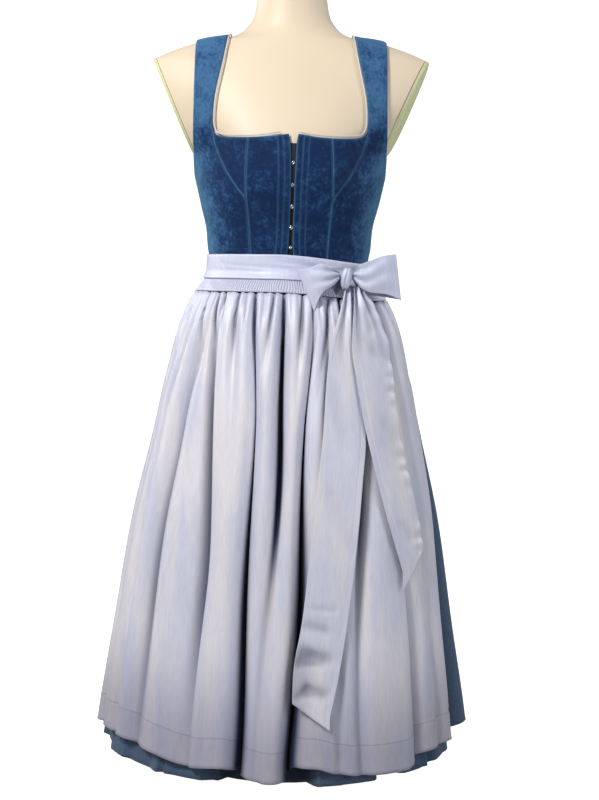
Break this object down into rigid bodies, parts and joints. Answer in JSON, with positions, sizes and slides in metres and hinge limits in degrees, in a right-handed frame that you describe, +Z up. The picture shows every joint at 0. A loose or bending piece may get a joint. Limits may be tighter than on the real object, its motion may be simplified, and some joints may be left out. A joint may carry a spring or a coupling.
{
  "type": "dirndl dress on a limbless dress form",
  "caption": "Dirndl with a hooked velvet bodice, gathered skirt and taffeta apron tied in a bow, on a limbless dress form with a pole and round base",
  "frame": {"origin": "centre of the stand base's flat underside, on the floor", "axes": "+X the wearer's left (the viewer's right from the front), -Y the front, +Z up"},
  "size_m": [0.5281, 0.502, 1.0853],
  "materials": {
    "velvet": "navy cotton velvet, mottled nap with a lighter steel-blue sheen at grazing angles",
    "black_cloth": "plain matte black cotton",
    "hook_metal": "small bright bent metal hooks",
    "piping": "cream silver satin cord piping",
    "skirt_crepe": "muted denim-blue crepe with a fine pebbled grain",
    "apron_taffeta": "lavender-grey changeant taffeta, smooth with a soft pearly sheen",
    "form_cover": "smooth ivory jersey cover",
    "form_plate": "pale olive-yellow smooth plates",
    "stand_metal": "satin grey metal pole and base"
  },
  "bodies": {
    "root": {"bodice_front_left": "velvet", "bodice_cup_left": "velvet", "bodice_side_front_left": "velvet", "bodice_side_back_left": "velvet", "bodice_front_right": "velvet", "bodice_cup_right": "velvet", "bodice_side_front_right": "velvet", "bodice_side_back_right": "velvet", "bodice_back": "velvet", "closure_underlap": "black_cloth", "closure_hook_1": "hook_metal", "closure_hook_2": "hook_metal", "closure_hook_3": "hook_metal", "closure_hook_4": "hook_metal", "closure_hook_5": "hook_metal", "piping_neck_front_left": "piping", "piping_neck_front_right": "piping", "piping_neck_back": "piping", "skirt_front": "skirt_crepe", "skirt_left": "skirt_crepe", "skirt_back": "skirt_crepe", "skirt_right": "skirt_crepe", "apron_panel": "apron_taffeta", "apron_shirring": "apron_taffeta", "tie_sash": "apron_taffeta", "bow_knot": "apron_taffeta", "bow_loop_right": "apron_taffeta", "bow_loop_left": "apron_taffeta", "bow_tail_long": "apron_taffeta", "bow_tail_short": "apron_taffeta", "form_torso": "form_cover", "form_shoulder_plate_left": "form_plate", "form_shoulder_plate_right": "form_plate", "form_neck_cap": "form_plate", "stand_pole": "stand_metal", "stand_base": "stand_metal"}
  },
  "joints": []
}
